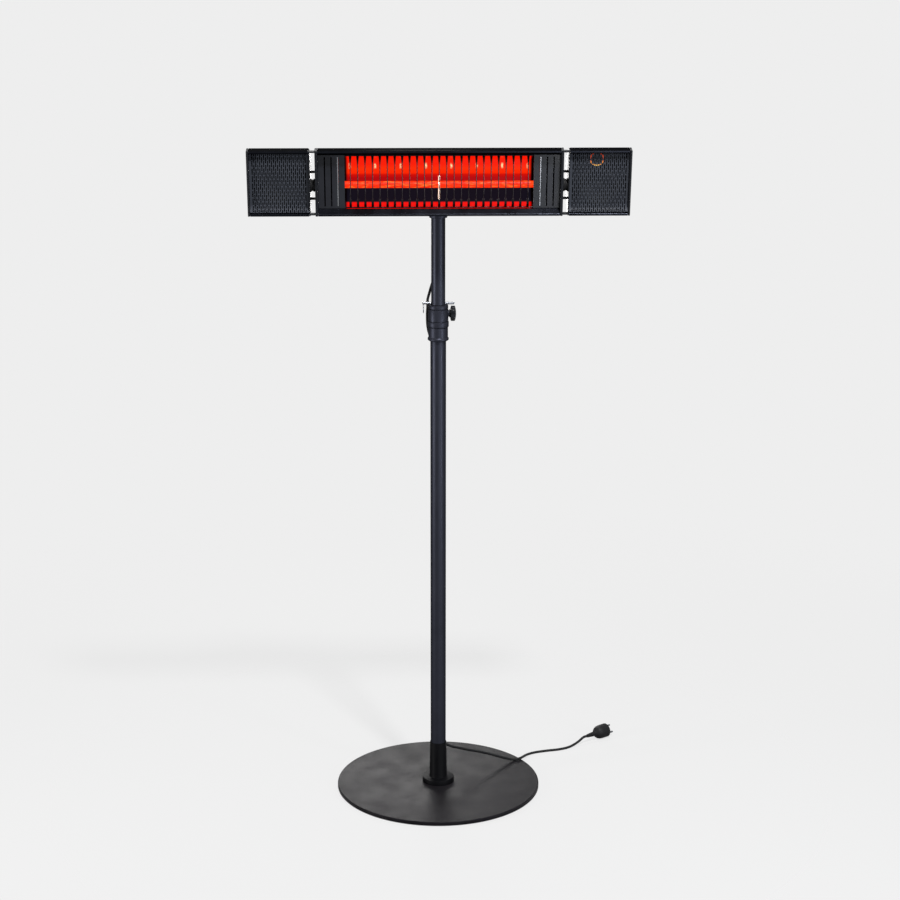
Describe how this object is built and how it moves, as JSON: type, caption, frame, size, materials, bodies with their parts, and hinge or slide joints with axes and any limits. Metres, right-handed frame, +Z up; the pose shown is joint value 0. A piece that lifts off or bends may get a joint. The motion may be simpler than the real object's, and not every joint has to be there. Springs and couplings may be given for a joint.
{
  "type": "infrared patio heater tower",
  "caption": "Free-standing electric infrared patio heater: a guarded lamp housing with speaker modules at its ends, on a telescopic pole and a round base plate.",
  "frame": {"origin": "centre of the round base, on the floor under the pole's axis", "axes": "+Z up along the pole, -Y the way the heater faces, +X to the viewer's right"},
  "size_m": [0.9165, 0.5805, 1.6268],
  "materials": {
    "base_coat": "textured black powder coat on steel plate",
    "tube_coat": "satin black powder coat on steel tube",
    "housing_coat": "satin black coat on extruded aluminium and sheet",
    "black_plastic": "moulded black plastic, fine matt grain",
    "bright_steel": "bright zinc-plated or stainless steel",
    "reflector_metal": "polished aluminium sheet",
    "quartz": "clear quartz tube, glowing red in use",
    "filament": "resistance wire, glowing in use",
    "ceramic": "steatite ceramic",
    "rubber": "black rubber",
    "circuit_board": "green solder resist",
    "amber_light": "amber light guide"
  },
  "bodies": {
    "base": {"floor_ring": "rubber", "base_plate": "base_coat", "pole_socket": "tube_coat", "base_bolt": "bright_steel", "tube_insert": "bright_steel", "lower_tube": "tube_coat", "collar_sleeve": "black_plastic", "collar_body": "black_plastic", "collar_rim": "black_plastic", "cord_clip_upper": "black_plastic", "cord_clip_lower": "black_plastic", "cord_collar_run": "rubber", "cord_floor_run": "rubber", "plug_body": "rubber", "plug_pins": "bright_steel"},
    "clamp": {"clamp_knob": "black_plastic", "clamp_stud": "bright_steel"},
    "glide": {"glide_plug": "black_plastic"},
    "mast": {"upper_tube": "tube_coat", "mast_yoke": "tube_coat", "pivot_bolt": "bright_steel", "cord_clip_mast": "black_plastic", "cord_head_run": "rubber", "cord_wrap_run": "rubber"},
    "tilt_grip": {"tilt_knob": "black_plastic"},
    "lock": {"locking_pin": "bright_steel"},
    "ring": {"pull_ring": "bright_steel"},
    "head": {"tilt_bracket": "tube_coat", "heater_housing": "housing_coat", "housing_end_cap_left": "black_plastic", "housing_end_cap_right": "black_plastic", "reflector": "reflector_metal", "lamp_holder_left": "reflector_metal", "lamp_holder_right": "reflector_metal", "lamp_tube": "quartz", "lamp_filament": "filament", "lamp_cap_left": "ceramic", "lamp_cap_right": "ceramic", "lamp_support": "bright_steel", "end_plate_left": "housing_coat", "end_plate_right": "housing_coat", "guard_grille": "bright_steel", "wing_housing_left": "housing_coat", "wing_housing_right": "housing_coat", "wing_inner_plate_left": "black_plastic", "wing_inner_plate_right": "black_plastic", "wing_outer_cap_left": "black_plastic", "wing_outer_cap_right": "black_plastic", "wing_grille_left": "housing_coat", "wing_grille_right": "housing_coat", "speaker_left": "black_plastic", "speaker_right": "black_plastic", "cable_sleeve_left": "rubber", "cable_sleeve_right": "rubber", "status_ring": "amber_light", "junction_box": "black_plastic", "junction_box_lid": "black_plastic", "control_board": "circuit_board", "cord_gland": "black_plastic"},
    "switch": {"power_switch": "black_plastic"}
  },
  "joints": [
    {"name": "mast_slide", "type": "slide", "parent": "base", "child": "glide", "axis": [0, 0, 1], "range_m": [0, 0.45]},
    {"name": "mast_swivel", "type": "hinge", "parent": "glide", "child": "mast", "pos_m": [0, 0, 0.6], "axis": [0, 0, 1], "range_deg": [-90, 90]},
    {"name": "head_tilt", "type": "hinge", "parent": "mast", "child": "head", "pos_m": [0, 0, 1.5293], "axis": [1, 0, 0], "range_deg": [-10, 30], "deforming": ["cord_head_run"]},
    {"name": "tilt_knob_turn", "type": "hinge", "parent": "mast", "child": "tilt_grip", "pos_m": [0.026, 0, 1.5293], "axis": [1, 0, 0], "range_deg": [0, 360]},
    {"name": "clamp_knob_turn", "type": "hinge", "parent": "base", "child": "clamp", "pos_m": [0.035, 0, 1.2163], "axis": [1, 0, 0], "range_deg": [0, 360]},
    {"name": "pin_pull", "type": "slide", "parent": "mast", "child": "lock", "axis": [-1, 0, 0], "range_m": [0, 0.07]},
    {"name": "ring_swing", "type": "hinge", "parent": "lock", "child": "ring", "pos_m": [-0.0354, 0, 1.241], "axis": [0, 1, 0], "range_deg": [0, 90]},
    {"name": "switch_rock", "type": "hinge", "parent": "head", "child": "switch", "pos_m": [-0.118, -0.01719, 1.56689], "axis": [1, 0, 0], "range_deg": [0, 16]}
  ]
}
